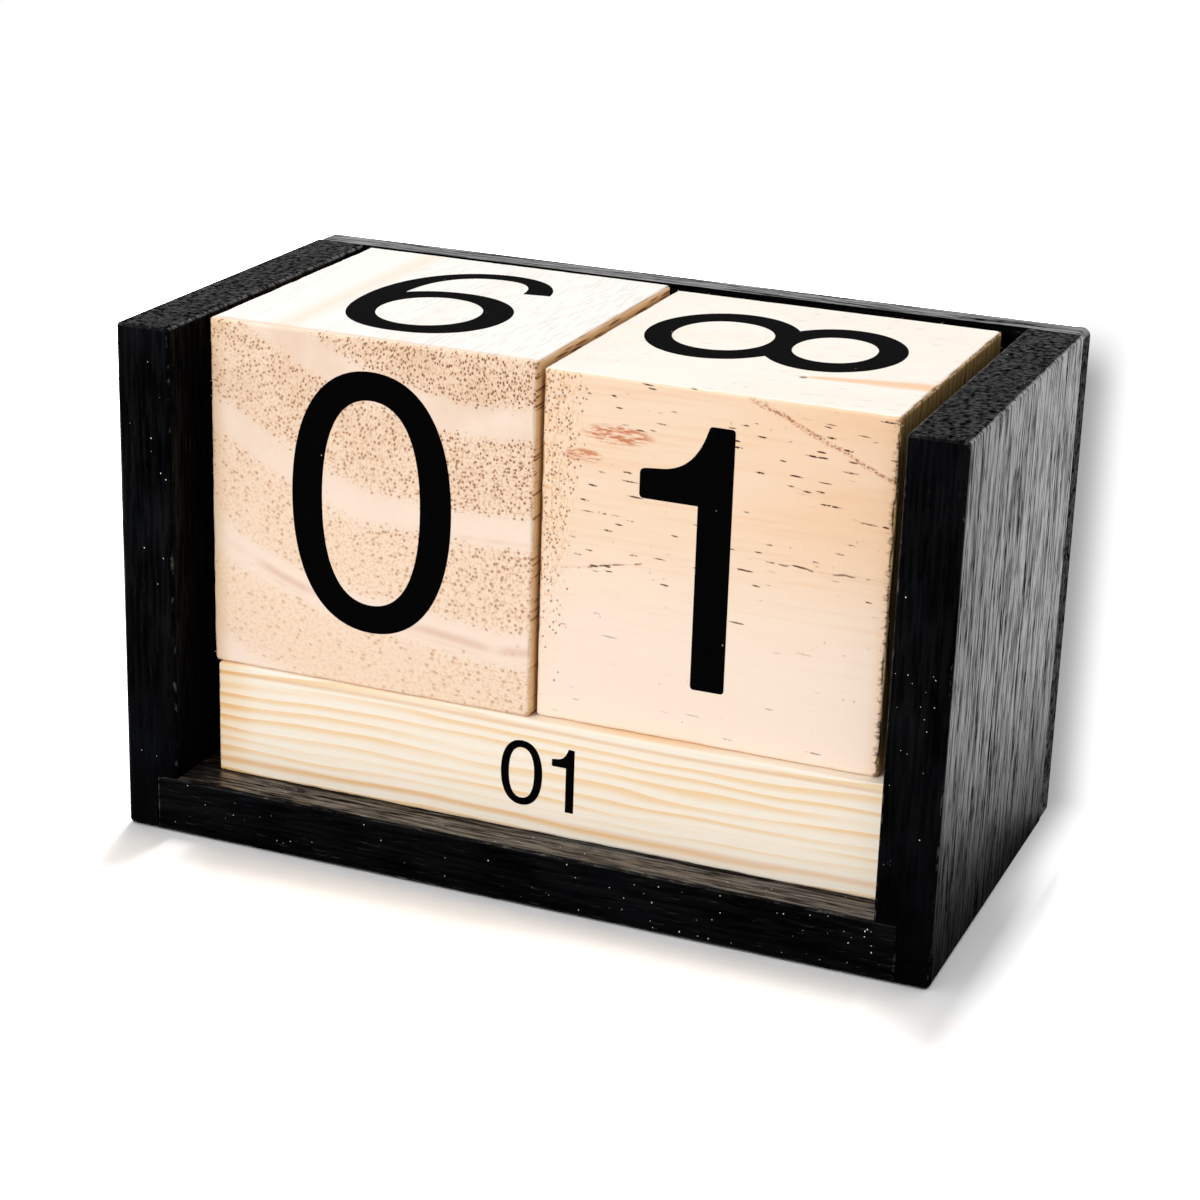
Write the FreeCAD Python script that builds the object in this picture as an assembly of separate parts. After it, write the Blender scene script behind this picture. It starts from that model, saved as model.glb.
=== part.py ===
import FreeCAD, Part
import os

os.makedirs("parts", exist_ok=True)

Vector = FreeCAD.Vector

# All sizes are in millimetres. The origin is the centre of the footprint, on the table.
# The front faces -Y, +X is to the right of someone reading the calendar, and +Z is up.

# Date cubes: two hand-sawn blocks that stand side by side on the month bars.
cube_side = 49.6
left_cube_height = 51.0
right_cube_height = 50.0
cube_edge_round = 0.6
cube_gap = 0.4

# Month bars: three square bars with a number on each of their long faces. The row of bars is a
# little deeper than the cubes that stand on it.
bar_row_extra_depth = 1.8
bar_edge_round = 0.6
bar_gap = 0.2
bar_count = 3

# Play around the blocks in the frame.
left_cube_play = 3.0
right_cube_play = 2.8
bar_left_play = 3.7
bar_right_play = 0.3
rear_bar_play = 2.3

# How far the blocks stand behind the front of the frame.
front_bar_recess = 5.8
left_cube_recess = 6.1
right_cube_recess = 7.5

# Boards of the frame. The base board lies in a rebate at the foot of each side panel.
side_thickness = 8.3
side_rise_over_right_cube = 0.2
base_thickness = 8.5
back_thickness = 5.0
rebate_tongue = 4.8
board_edge_round = 0.6
foot_edge_round = 0.8
back_corner_round = 1.2
base_edge_round = 0.5

# Brads: headed nails that hold the boards together, sunk below the painted faces.
brad_shank_diameter = 1.2
brad_head_diameter = 2.2
brad_head_thickness = 0.6
brad_sink = 1.2
brad_length = 15.0
brad_clearance = 0.05
base_brad_end_distance = 12.0
back_brad_low_height = 22.0
back_brad_high_height = 60.0
back_brad_base_spread = 30.0

# Numerals: black inlays that lie flush in shallow pockets. A cube's numerals are a share of the
# shorter side of its faces.
cube_numeral_share = 0.748
bar_numeral_height = 9.5
bar_numeral_shift = 1.1
bar_numeral_rise = 0.3
numeral_depth = 0.3

cut_overrun = 1.0
place_tolerance = 0.001

# Worked out from the sizes above.
inner_width = left_cube_play + 2 * cube_side + cube_gap + right_cube_play
outer_width = inner_width + 2 * side_thickness
bar_row_depth = cube_side + bar_row_extra_depth
bar_section = (bar_row_depth - (bar_count - 1) * bar_gap) / bar_count
bar_pitch = bar_section + bar_gap
side_depth = front_bar_recess + bar_row_depth + rear_bar_play
outer_depth = side_depth + back_thickness
block_floor = base_thickness + bar_section
side_height = block_floor + right_cube_height + side_rise_over_right_cube
outer_x = outer_width / 2
inner_x = inner_width / 2
front_y = -outer_depth / 2
back_y = outer_depth / 2
seam_y = front_y + side_depth

# Shapes of the numerals, in shares of the numeral's height, from the lower left corner of its
# box. A step adds or cuts one form. An oval is its middle, width, height and fullness, where a
# fuller oval is squarer. An outline is its start, then lines to a point and curves with two
# handles and an end.
numeral_box_share = 0.66
number_pitch_share = 0.77
numeral_form_shares = {
    "zero": [
        ("add", "oval", (0.330, 0.500, 0.660, 1.022, 0.630)),
        ("cut", "oval", (0.329, 0.500, 0.408, 0.802, 0.650)),
    ],
    "one": [
        ("add", "outline", [(0.281, 0.0), (0.379, 0.0),
                            (0.390, 0.000, 0.395, 0.005, 0.395, 0.016), (0.395, 0.984),
                            (0.395, 0.995, 0.390, 1.000, 0.379, 1.000), (0.312, 1.0),
                            (0.303, 1.000, 0.299, 0.997, 0.295, 0.985),
                            (0.268, 0.895, 0.220, 0.830, 0.130, 0.820), (0.062, 0.814),
                            (0.047, 0.812, 0.040, 0.806, 0.040, 0.792), (0.040, 0.720),
                            (0.040, 0.706, 0.046, 0.700, 0.060, 0.700),
                            (0.265, 0.700), (0.265, 0.016),
                            (0.265, 0.005, 0.270, 0.000, 0.281, 0.000)]),
    ],
    "two": [
        ("add", "outline", [(0.0, 0.0), (0.655, 0.0), (0.655, 0.115), (0.158, 0.115),
                            (0.175, 0.200, 0.300, 0.265, 0.420, 0.345),
                            (0.560, 0.440, 0.655, 0.550, 0.655, 0.700),
                            (0.655, 0.875, 0.530, 1.000, 0.340, 1.000),
                            (0.140, 1.000, 0.030, 0.870, 0.030, 0.650),
                            (0.157, 0.650),
                            (0.157, 0.800, 0.225, 0.895, 0.335, 0.895),
                            (0.450, 0.895, 0.525, 0.820, 0.525, 0.705),
                            (0.525, 0.600, 0.450, 0.520, 0.345, 0.455),
                            (0.150, 0.330, 0.000, 0.220, 0.0, 0.0)]),
    ],
    "three": [
        ("add", "oval", (0.325, 0.735, 0.590, 0.530, 0.552)),
        ("add", "oval", (0.330, 0.290, 0.660, 0.580, 0.552)),
        ("cut", "oval", (0.320, 0.735, 0.345, 0.315, 0.580)),
        ("cut", "oval", (0.325, 0.293, 0.410, 0.367, 0.580)),
        ("cut", "outline", [(-0.050, 0.310), (0.250, 0.310), (0.250, 0.690), (-0.050, 0.690)]),
    ],
    "four": [
        ("add", "outline", [(0.430, 0.0), (0.552, 0.0), (0.552, 0.235), (0.690, 0.235),
                            (0.690, 0.345), (0.552, 0.345), (0.552, 1.0), (0.455, 1.0),
                            (0.0, 0.360), (0.0, 0.235), (0.430, 0.235)]),
        ("cut", "outline", [(0.118, 0.345), (0.430, 0.345), (0.430, 0.790)]),
    ],
    "five": [
        ("add", "outline", [(0.128, 1.0), (0.610, 1.0), (0.610, 0.880), (0.228, 0.880),
                            (0.187, 0.605),
                            (0.235, 0.640, 0.285, 0.655, 0.345, 0.655),
                            (0.530, 0.655, 0.660, 0.520, 0.660, 0.335),
                            (0.660, 0.130, 0.520, 0.000, 0.310, 0.000),
                            (0.130, 0.000, 0.015, 0.100, 0.0, 0.262),
                            (0.125, 0.262),
                            (0.140, 0.165, 0.205, 0.108, 0.310, 0.108),
                            (0.445, 0.108, 0.530, 0.190, 0.530, 0.325),
                            (0.530, 0.460, 0.445, 0.545, 0.320, 0.545),
                            (0.250, 0.545, 0.195, 0.515, 0.155, 0.455),
                            (0.040, 0.455)]),
    ],
    "six": [
        ("add", "outline", [(0.639, 0.765),
                            (0.620, 0.905, 0.530, 1.000, 0.385, 1.000),
                            (0.170, 1.000, 0.000, 0.790, 0.0, 0.460),
                            (0.000, 0.150, 0.120, 0.000, 0.335, 0.000),
                            (0.530, 0.000, 0.647, 0.140, 0.647, 0.325),
                            (0.647, 0.510, 0.520, 0.643, 0.345, 0.643),
                            (0.255, 0.643, 0.175, 0.612, 0.118, 0.552),
                            (0.118, 0.780, 0.220, 0.919, 0.385, 0.919),
                            (0.475, 0.919, 0.525, 0.870, 0.534, 0.748)]),
        ("cut", "oval", (0.330, 0.325, 0.400, 0.444, 0.560)),
    ],
    "seven": [
        ("add", "outline", [(0.0, 1.0), (0.670, 1.0), (0.670, 0.890),
                            (0.530, 0.735, 0.340, 0.390, 0.285, 0.0),
                            (0.152, 0.0),
                            (0.210, 0.365, 0.370, 0.675, 0.535, 0.880),
                            (0.0, 0.880)]),
    ],
    "eight": [
        ("add", "oval", (0.330, 0.733, 0.634, 0.534, 0.552)),
        ("add", "oval", (0.330, 0.2916, 0.690, 0.5832, 0.552)),
        ("cut", "oval", (0.330, 0.733, 0.377, 0.3145, 0.580)),
        ("cut", "oval", (0.330, 0.2916, 0.438, 0.3786, 0.580)),
    ],
}

# The digit on each face of a cube, and the order in which a bar's faces count the months.
digits = ["zero", "one", "two", "three", "four", "five", "six", "seven", "eight", "nine"]
left_cube_digits = {
    "front": "zero", "top": "six", "back": "two", "bottom": "three", "left": "four", "right": "one",
}
right_cube_digits = {
    "front": "one", "top": "eight", "back": "two", "bottom": "seven", "left": "zero", "right": "five",
}
bar_face_order = ["front", "top", "back", "bottom"]

# Where the middle of each printed number lies from the middle of its face, to the face's right
# and up, in shares of the shorter side. Hand stamping leaves them a little off.
usual_offset_shares = (0.0, 0.030)
left_cube_offset_shares = {"front": (0.006, 0.038), "top": (0.0095, -0.011)}
right_cube_offset_shares = {"front": (0.004, 0.031), "top": (-0.034, 0.056)}

# The right and up directions of each face. Right crossed with up points out of the face.
axis_x = Vector(1, 0, 0)
axis_y = Vector(0, 1, 0)
axis_z = Vector(0, 0, 1)
cube_directions = {
    "front": (axis_x, axis_z), "back": (-axis_x, axis_z), "left": (-axis_y, axis_z),
    "right": (axis_y, axis_z), "top": (axis_x, axis_y), "bottom": (axis_x, -axis_y),
}
bar_directions = {
    "front": (axis_x, axis_z), "top": (axis_x, axis_y), "back": (axis_x, -axis_z),
    "bottom": (axis_x, -axis_y),
}


def block(low, high):
    """A box between its low and its high corner."""
    size = high - low
    return Part.makeBox(size.x, size.y, size.z, low)


def rod(diameter, length, start, direction):
    return Part.makeCylinder(diameter / 2, length, start, direction)


def mirrored(shape):
    """The same piece on the other side of the calendar."""
    return shape.mirror(Vector(0, 0, 0), axis_x)


def rounded(shape, radius, chosen):
    """Rounds the edges whose middle is chosen."""
    return shape.makeFillet(radius, [edge for edge in shape.Edges if chosen(edge.CenterOfMass)])


def level(value, place):
    return abs(value - place) < place_tolerance


def oval_face(shares, height):
    """A closed oval of four curves."""
    middle_x, middle_y, wide, high, fullness = shares
    middle = Vector(middle_x * height, middle_y * height, 0)
    corners = [(1, 0), (0, 1), (-1, 0), (0, -1)]
    edges = []
    for index, (from_x, from_y) in enumerate(corners):
        to_x, to_y = corners[(index + 1) % len(corners)]
        unit_poles = [
            (from_x, from_y),
            (from_x + fullness * to_x, from_y + fullness * to_y),
            (to_x + fullness * from_x, to_y + fullness * from_y),
            (to_x, to_y),
        ]
        curve = Part.BezierCurve()
        curve.setPoles([
            middle + Vector(x * wide * height / 2, y * high * height / 2, 0) for x, y in unit_poles])
        edges.append(curve.toShape())
    return Part.Face(Part.Wire(edges))


def outline_face(shares, height):
    """A closed face from a start point, lines and curves."""
    start = Vector(shares[0][0] * height, shares[0][1] * height, 0)
    here = start
    edges = []
    for step in shares[1:]:
        points = [Vector(x * height, y * height, 0) for x, y in zip(step[0::2], step[1::2])]
        if len(points) == 1:
            edges.append(Part.LineSegment(here, points[0]).toShape())
        else:
            curve = Part.BezierCurve()
            curve.setPoles([here] + points)
            edges.append(curve.toShape())
        here = points[-1]
    if here.distanceToPoint(start) > place_tolerance:
        edges.append(Part.LineSegment(here, start).toShape())
    return Part.Face(Part.Wire(edges))


def numeral_solid(digit, height):
    """One numeral under the XY plane, its top face on it, its box centred on the origin."""
    if digit == "nine":
        turned = numeral_solid("six", height)
        turned.rotate(Vector(0, 0, 0), axis_z, 180)
        return turned
    numeral = None
    for action, kind, shares in numeral_form_shares[digit]:
        face = oval_face(shares, height) if kind == "oval" else outline_face(shares, height)
        form = face.extrude(axis_z * numeral_depth)
        if numeral is None:
            numeral = form
        elif action == "add":
            numeral = numeral.fuse(form)
        else:
            numeral = numeral.cut(form)
    numeral.translate(Vector(-numeral_box_share * height / 2, -height / 2, -numeral_depth))
    return numeral


def number_solids(number, height):
    """A row of numerals, centred on the origin."""
    pitch = number_pitch_share * height
    solids = []
    for index, digit in enumerate(number):
        numeral = numeral_solid(digit, height)
        numeral.translate(Vector((index - (len(number) - 1) / 2) * pitch, 0, 0))
        solids.extend(numeral.Solids)
    return solids


def laid_on_face(solids, middle, right, up):
    """Carries flat numerals from the XY plane to a face."""
    out = right.cross(up)
    matrix = FreeCAD.Matrix(
        right.x, up.x, out.x, middle.x,
        right.y, up.y, out.y, middle.y,
        right.z, up.z, out.z, middle.z,
        0, 0, 0, 1)
    placement = FreeCAD.Placement(matrix)
    laid = []
    for solid in solids:
        moved = solid.copy()
        moved.Placement = placement.multiply(moved.Placement)
        laid.append(moved)
    return laid


def face_middle(low, high, out):
    """The middle of the face of a box on the side that out points to."""
    half = (high - low) * 0.5
    return low + half + Vector(out.x * half.x, out.y * half.y, out.z * half.z)


def write(name, shape):
    if not shape.isValid():
        print("not valid:", name)
    shape.exportStep("parts/" + name + ".step")
    print(name, len(shape.Solids), round(shape.Volume, 1))


# Side panels: a thick board, softened on its free edges, with the rebate for the base board.
panel = block(Vector(inner_x, front_y, 0), Vector(outer_x, seam_y, side_height))
panel = rounded(panel, foot_edge_round, lambda p: level(p.x, outer_x) and level(p.z, 0))
panel = rounded(panel, board_edge_round, lambda p: (
    level(p.y, front_y) or (level(p.z, side_height) and not level(p.y, seam_y))))
rebate_x = outer_x - rebate_tongue
rebate = block(
    Vector(inner_x - cut_overrun, front_y - cut_overrun, -cut_overrun),
    Vector(rebate_x, seam_y + cut_overrun, base_thickness))
panel = panel.cut(rebate)

# Base board, wide enough to fill both rebates.
base = block(Vector(-rebate_x, front_y, 0), Vector(rebate_x, seam_y, base_thickness))
base = rounded(base, base_edge_round, lambda p: level(p.y, front_y))

# Back panel over the back of all three boards.
back = block(Vector(-outer_x, seam_y, 0), Vector(outer_x, back_y, side_height))
back = rounded(back, back_corner_round, lambda p: (
    level(abs(p.x), outer_x) and (level(p.z, 0) or level(p.z, side_height))))
back = rounded(back, board_edge_round, lambda p: level(p.y, back_y))


def brad(head, direction):
    """A headed nail from its head down into the wood, and the hole that it sits in."""
    under_head = head + direction * brad_head_thickness
    shank_length = brad_length - brad_head_thickness
    nail = rod(brad_head_diameter, brad_head_thickness, head, direction)
    nail = nail.fuse(rod(brad_shank_diameter, shank_length, under_head, direction))
    clear = 2 * brad_clearance
    hole = rod(brad_head_diameter + clear, brad_head_thickness, head, direction)
    hole = hole.fuse(rod(brad_shank_diameter + clear, shank_length, under_head, direction))
    return nail.removeSplitter(), hole


# Two brads go through each side panel into the end of the base board.
base_brads = []
base_brad_holes = []
for brad_y in (front_y + base_brad_end_distance, seam_y - base_brad_end_distance):
    nail, hole = brad(Vector(outer_x - brad_sink, brad_y, base_thickness / 2), -axis_x)
    base_brads.append(nail)
    base_brad_holes.append(hole)

# Six brads go through the back panel, two into each side panel and two into the base board.
side_middle_x = inner_x + side_thickness / 2
back_brads = []
back_brad_holes = []
for side in (-1, 1):
    for place in (
            Vector(side * side_middle_x, back_y - brad_sink, back_brad_low_height),
            Vector(side * side_middle_x, back_y - brad_sink, back_brad_high_height),
            Vector(side * back_brad_base_spread, back_y - brad_sink, base_thickness / 2)):
        nail, hole = brad(place, -axis_y)
        back_brads.append(nail)
        back_brad_holes.append(hole)

panel = panel.cut(base_brad_holes)
right_panel = panel.cut(back_brad_holes)
left_panel = mirrored(panel).cut(back_brad_holes)
base = base.cut(base_brad_holes + [mirrored(hole) for hole in base_brad_holes] + back_brad_holes)
back = back.cut(back_brad_holes)

write("right_side_panel", right_panel)
write("left_side_panel", left_panel)
write("base_board", base)
write("back_panel", back)
write("right_base_brads", Part.makeCompound(base_brads))
write("left_base_brads", Part.makeCompound([mirrored(nail) for nail in base_brads]))
write("back_brads", Part.makeCompound(back_brads))


def date_cube(low, high, face_digits, offset_shares, turned_faces):
    """A cube with softened edges and an inlaid digit on each of its six faces."""
    shorter_side = min(high.x - low.x, high.z - low.z)
    numeral_height = cube_numeral_share * shorter_side
    inlays = []
    for face, digit in face_digits.items():
        right, up = cube_directions[face]
        middle = face_middle(low, high, right.cross(up))
        offset_right, offset_up = offset_shares.get(face, usual_offset_shares)
        middle = middle + right * (offset_right * shorter_side) + up * (offset_up * shorter_side)
        if face in turned_faces:
            right, up = -up, right
        inlays.extend(laid_on_face(number_solids([digit], numeral_height), middle, right, up))
    cube = block(low, high)
    cube = cube.makeFillet(cube_edge_round, cube.Edges)
    return cube.cut(inlays), inlays


left_cube_x = left_cube_play - inner_x
left_cube_y = front_y + left_cube_recess
left_cube, left_cube_inlays = date_cube(
    Vector(left_cube_x, left_cube_y, block_floor),
    Vector(left_cube_x + cube_side, left_cube_y + cube_side, block_floor + left_cube_height),
    left_cube_digits, left_cube_offset_shares, [])
right_cube_x = left_cube_x + cube_side + cube_gap
right_cube_y = front_y + right_cube_recess
right_cube, right_cube_inlays = date_cube(
    Vector(right_cube_x, right_cube_y, block_floor),
    Vector(right_cube_x + cube_side, right_cube_y + cube_side, block_floor + right_cube_height),
    right_cube_digits, right_cube_offset_shares, ["top"])
write("left_date_cube", left_cube)
write("left_cube_numerals", Part.makeCompound(left_cube_inlays))
write("right_date_cube", right_cube)
write("right_cube_numerals", Part.makeCompound(right_cube_inlays))

# Month bars, from the front one to the rear one, with the next month on each long face.
bar_low_x = bar_left_play - inner_x
bar_high_x = inner_x - bar_right_play
for bar_index, bar_name in enumerate(["front", "middle", "rear"]):
    bar_low_y = front_y + front_bar_recess + bar_index * bar_pitch
    low = Vector(bar_low_x, bar_low_y, base_thickness)
    high = Vector(bar_high_x, bar_low_y + bar_section, block_floor)
    inlays = []
    for face_index, face in enumerate(bar_face_order):
        month = bar_index * len(bar_face_order) + face_index + 1
        tens, ones = divmod(month, len(digits))
        right, up = bar_directions[face]
        middle = face_middle(low, high, right.cross(up))
        middle = middle + right * bar_numeral_shift + up * bar_numeral_rise
        number = number_solids([digits[tens], digits[ones]], bar_numeral_height)
        inlays.extend(laid_on_face(number, middle, right, up))
    bar = block(low, high)
    bar = bar.makeFillet(bar_edge_round, bar.Edges)
    write(bar_name + "_month_bar", bar.cut(inlays))
    write(bar_name + "_bar_numerals", Part.makeCompound(inlays))

print("outer size", round(outer_width, 3), round(outer_depth, 3), round(side_height, 3))
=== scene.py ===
# %% [markdown]
# # A wooden block calendar
#
# A black wooden frame holds two date cubes on top of three month bars. The solids come from
# the CAD model. This lesson gives them their wood, ink and paint, rebuilds the sawn blocks
# with worn edges, adds dust and splinters with Geometry Nodes, and lights the calendar on a
# pale table.
#
# We start by loading the CAD model, which stays fixed, and by noting the box that it fills.

import math

import bpy
import numpy as np
from mathutils import Matrix, Vector, noise


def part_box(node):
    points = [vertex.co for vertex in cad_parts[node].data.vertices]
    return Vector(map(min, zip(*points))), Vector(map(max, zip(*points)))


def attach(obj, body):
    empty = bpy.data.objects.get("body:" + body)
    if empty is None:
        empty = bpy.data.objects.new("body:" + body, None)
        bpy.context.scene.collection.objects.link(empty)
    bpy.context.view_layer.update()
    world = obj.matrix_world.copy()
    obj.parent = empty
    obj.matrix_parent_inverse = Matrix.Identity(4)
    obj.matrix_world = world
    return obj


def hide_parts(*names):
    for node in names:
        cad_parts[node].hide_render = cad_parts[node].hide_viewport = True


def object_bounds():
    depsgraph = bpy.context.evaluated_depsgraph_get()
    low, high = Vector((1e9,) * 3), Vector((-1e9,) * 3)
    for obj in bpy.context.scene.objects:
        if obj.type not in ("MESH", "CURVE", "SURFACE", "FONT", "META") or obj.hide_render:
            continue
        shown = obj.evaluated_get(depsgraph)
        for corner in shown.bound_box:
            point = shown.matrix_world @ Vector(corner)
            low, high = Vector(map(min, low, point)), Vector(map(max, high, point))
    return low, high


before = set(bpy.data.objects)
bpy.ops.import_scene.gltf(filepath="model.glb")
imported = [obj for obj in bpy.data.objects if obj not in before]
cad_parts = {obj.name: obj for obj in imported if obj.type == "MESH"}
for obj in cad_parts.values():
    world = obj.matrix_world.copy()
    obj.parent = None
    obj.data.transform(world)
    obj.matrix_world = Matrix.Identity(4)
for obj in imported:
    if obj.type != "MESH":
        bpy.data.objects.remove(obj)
cad_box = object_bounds()
MM = 0.001
for name in sorted(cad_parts):
    low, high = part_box(name)
    print(name, [round(value / MM, 1) for value in (*low, *high)])

# %% [markdown]
# ## The camera
#
# The photographer stood to the right of the calendar, looked down on it and held the camera
# slightly tilted. We could place the camera by eye, but the edges of the frame in the
# photograph fix it well: a fit gives the distance, the three angles and the lens.
# The turns are multiplied in the order in which a camera head makes them: pan, tilt, roll.

# %% Camera
camera_place = Vector((143.9, -361.3, 175.2)) * MM
camera_pan = math.radians(21.78)
camera_down = math.radians(19.89)
camera_roll = math.radians(1.86)
camera_lens = 85.26

camera_data = bpy.data.cameras.new("calendar_camera")
camera_data.sensor_width = 36
camera_data.lens = camera_lens
camera_data.clip_start = 0.01
camera = bpy.data.objects.new("calendar_camera", camera_data)
bpy.context.collection.objects.link(camera)
camera.matrix_world = (
    Matrix.Translation(camera_place)
    @ Matrix.Rotation(camera_pan, 4, "Z")
    @ Matrix.Rotation(math.pi / 2 - camera_down, 4, "X")
    @ Matrix.Rotation(camera_roll, 4, "Z"))
bpy.context.scene.camera = camera
print("camera stands", round(camera_place.length, 3), "m from the middle of the footprint")

# %% [markdown]
# ## A short way to write shader formulas
#
# Wood, paint and ink are all patterns of position, and a pattern is easiest to read as a
# formula. A shader wants nodes instead. The small class below joins the two: it wraps a
# node's output so that `+`, `-`, `*` and `/` add the matching math nodes. Everything is
# measured in millimetres of Object coordinates, so a pattern sits still on its piece.

# %% Signals: numbers that travel through a shader
def plug(tree, socket, value):
    """Links a signal to a socket, or writes a plain value on it."""
    if isinstance(value, Signal):
        tree.links.new(value.socket, socket)
    else:
        socket.default_value = value


def add_node(tree, kind, inputs, output=0, **settings):
    """Adds a node, fills its inputs by name or number and returns one output as a signal."""
    made = tree.nodes.new(kind)
    for key, value in settings.items():
        setattr(made, key, value)
    for key, value in inputs.items():
        plug(tree, made.inputs[key], value)
    return Signal(tree, made.outputs[output])


class Signal:
    """One output of a node, ready to be used in a formula."""

    def __init__(self, tree, socket):
        self.tree = tree
        self.socket = socket

    def math(self, operation, *others):
        inputs = dict(enumerate((self, *others)))
        return add_node(self.tree, "ShaderNodeMath", inputs, operation=operation)

    def __add__(self, other):
        return self.math("ADD", other)

    def __sub__(self, other):
        return self.math("SUBTRACT", other)

    def __mul__(self, other):
        return self.math("MULTIPLY", other)

    def __truediv__(self, other):
        return self.math("DIVIDE", other)

    def smooth(self, start, end):
        """0 before start, 1 after end, and a soft step between. It also runs backwards."""
        inputs = {"Value": self, "From Min": start, "From Max": end}
        return add_node(self.tree, "ShaderNodeMapRange", inputs, interpolation_type="SMOOTHSTEP")

    def bump_at(self, middle, width):
        """1 where the signal is near the middle, 0 further off than the width."""
        return (self - middle).math("ABSOLUTE").smooth(width, 0.0)


def parts_of(tree, vector):
    """The three parts of a vector."""
    made = tree.nodes.new("ShaderNodeSeparateXYZ")
    plug(tree, made.inputs[0], vector)
    return [Signal(tree, made.outputs[axis]) for axis in range(3)]


def place_in_mm(tree):
    """The three Object coordinates in millimetres."""
    spot = add_node(tree, "ShaderNodeTexCoord", {}, output="Object")
    return [part * (1 / MM) for part in parts_of(tree, spot)]


def point(tree, x, y, z):
    return add_node(tree, "ShaderNodeCombineXYZ", {0: x, 1: y, 2: z})


def cloud(tree, x, y, z, detail=2.0, roughness=0.5):
    """Soft noise between 0 and 1 with features about one unit wide."""
    inputs = {
        "Vector": point(tree, x, y, z), "Scale": 1.0, "Detail": detail, "Roughness": roughness}
    return add_node(tree, "ShaderNodeTexNoise", inputs, output="Fac")


def grains(tree, x, y, z, size, share):
    """Scattered grains, one in each unit cell: 1 inside a grain, kept in a share of the cells."""
    inputs = {"Vector": point(tree, x, y, z), "Scale": 1.0}
    distance = add_node(tree, "ShaderNodeTexVoronoi", inputs, output="Distance")
    cell_colour = Signal(tree, distance.socket.node.outputs["Color"])
    chance = add_node(tree, "ShaderNodeSeparateColor", {0: cell_colour})
    return distance.smooth(size, size * 0.5) * (chance - share).smooth(0.02, -0.02)


# A Mix node has sockets for every kind of data, and those for colours are 6 and 7.
def tint(tree, share, first, second):
    """The first colour where the share is 0, the second where it is 1."""
    return add_node(
        tree, "ShaderNodeMix", {0: share, 6: first, 7: second}, output=2, data_type="RGBA")


def finish_of(name):
    """A new material's tree, its Principled shader and its coordinates."""
    material = bpy.data.materials.new(name)
    material.use_nodes = True
    tree = material.node_tree
    return material, tree, tree.nodes["Principled BSDF"], place_in_mm(tree)


def relief(tree, shader, height):
    """Bumps the shader by a height in millimetres."""
    bump = add_node(tree, "ShaderNodeBump", {"Height": height, "Distance": MM}, output="Normal")
    plug(tree, shader.inputs["Normal"], bump)


def show(tree, shader, colour, roughness, height):
    """Gives the shader its colour, its roughness and its height in millimetres."""
    plug(tree, shader.inputs["Base Color"], colour)
    plug(tree, shader.inputs["Roughness"], roughness)
    relief(tree, shader, height)


# Colours are written as the eye reads them, and turned into the linear values Blender wants.
def paint(red, green, blue):
    """A colour from three numbers between 0 and 255."""
    def linear(value):
        value /= 255
        return value / 12.92 if value <= 0.04045 else ((value + 0.055) / 1.055) ** 2.4
    return (linear(red), linear(green), linear(blue), 1.0)


def grey(value):
    """A linear grey, which may be brighter than white."""
    return (value, value, value, 1.0)


print("a grey written as 188 is", round(paint(188, 188, 188)[0], 3), "in linear light")

# %% [markdown]
# ## Sawn blocks with worn edges
#
# The cubes and bars are plain boxes in the CAD model. Real ones are sawn and tumbled: their
# edges are soft, dented and a little ragged. A Bevel modifier would round them evenly, so we
# lay a grid over a box instead, close-meshed along the edges, bend it round the corners and
# push each point inwards by its own wear. Each point also keeps the way it faces, because the
# wood looks different on its end grain.
#
# The surface lies a hair below the CAD face, so the ink on it stands just proud of the wood.

# %% The block builder
ink_stands_proud = 0.03
edge_zone = 2.4
edge_steps = 15
middle_step = 1.2


def ticks(half):
    """Positions across one side in millimetres, close together near both ends."""
    near = np.linspace(half - edge_zone, half, edge_steps)
    count = max(3, int(2 * (half - edge_zone) / middle_step) + 1)
    middle = np.linspace(edge_zone - half, half - edge_zone, count)
    return np.concatenate([-near[::-1], middle[1:-1], near])


def box_grid(half):
    """Points and outward quads of a closed grid over a box with these half sizes."""
    points, quads = [], []
    for axis in range(3):
        across, along = (axis + 1) % 3, (axis + 2) % 3
        first, second = ticks(half[across]), ticks(half[along])
        for side in (-1, 1):
            start = sum(len(part) for part in points)
            sheet = np.empty((len(first), len(second), 3))
            sheet[:, :, axis] = side * half[axis]
            sheet[:, :, across] = first[:, None]
            sheet[:, :, along] = second[None, :]
            points.append(sheet.reshape(-1, 3))
            number = start + np.arange(len(first) * len(second)).reshape(len(first), len(second))
            corners = [number[:-1, :-1], number[1:, :-1], number[1:, 1:], number[:-1, 1:]]
            quads.append(np.stack(corners[::side], axis=-1).reshape(-1, 4))
    points, quads = np.concatenate(points), np.concatenate(quads)
    kept, index = np.unique(points.round(6), axis=0, return_inverse=True)
    return kept, index.reshape(-1)[quads]


def object_from(name, points_mm, faces, material):
    """A mesh object at the origin, its place in its points."""
    mesh = bpy.data.meshes.new(name)
    mesh.from_pydata((np.asarray(points_mm) * MM).tolist(), [], np.asarray(faces).tolist())
    mesh.materials.append(material)
    made = bpy.data.objects.new(name, mesh)
    bpy.context.collection.objects.link(made)
    return made


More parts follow.
